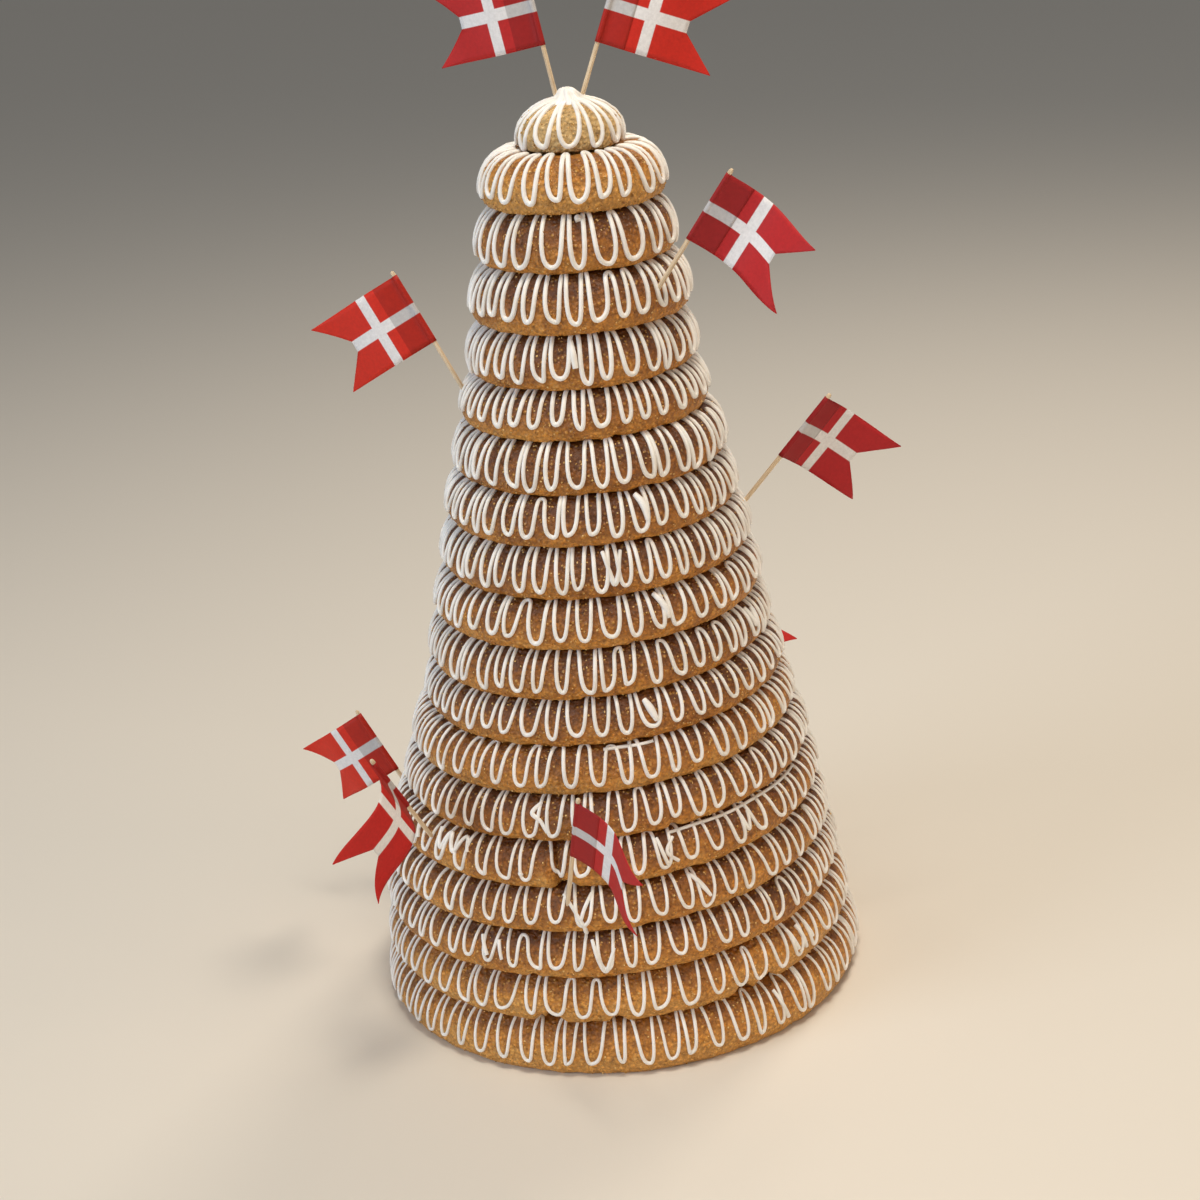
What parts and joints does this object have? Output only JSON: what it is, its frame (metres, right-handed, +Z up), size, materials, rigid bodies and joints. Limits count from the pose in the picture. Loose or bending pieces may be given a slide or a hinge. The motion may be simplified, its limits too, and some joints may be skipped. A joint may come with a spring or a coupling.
{
  "type": "kransekake ring cake",
  "caption": "Tall tapering tower of stacked almond-dough rings, hollow inside, with a small knob on top and swallow-tailed paper flags on wooden picks.",
  "frame": {"origin": "under the middle of the whole cake with its flags, on the surface that it rests on", "axes": "+Z up the tower, -Y towards the front, +X to the right"},
  "size_m": [0.3242, 0.3238, 0.503],
  "materials": {
    "dough": "baked almond dough, golden brown, granular, with white piped icing",
    "knob_dough": "paler baked almond dough, with white piped icing",
    "flag_paper": "matte printed paper",
    "pick_wood": "plain unvarnished birch",
    "icing": "dried white sugar icing, satin"
  },
  "bodies": {
    "root": {"ring_01": "dough", "ring_02": "dough", "ring_03": "dough", "ring_04": "dough", "ring_05": "dough", "ring_06": "dough", "ring_07": "dough", "ring_08": "dough", "ring_09": "dough", "ring_10": "dough", "ring_11": "dough", "ring_12": "dough", "ring_13": "dough", "ring_14": "dough", "ring_15": "dough", "ring_16": "dough", "ring_17": "dough", "ring_18": "dough", "knob": "knob_dough", "flag_1": "flag_paper", "flag_2": "flag_paper", "flag_3": "flag_paper", "flag_4": "flag_paper", "flag_5": "flag_paper", "flag_6": "flag_paper", "flag_7": "flag_paper", "flag_8": "flag_paper", "flag_9": "flag_paper", "pick_1": "pick_wood", "pick_2": "pick_wood", "pick_3": "pick_wood", "pick_4": "pick_wood", "pick_5": "pick_wood", "pick_6": "pick_wood", "pick_7": "pick_wood", "pick_8": "pick_wood", "pick_9": "pick_wood"}
  },
  "joints": []
}
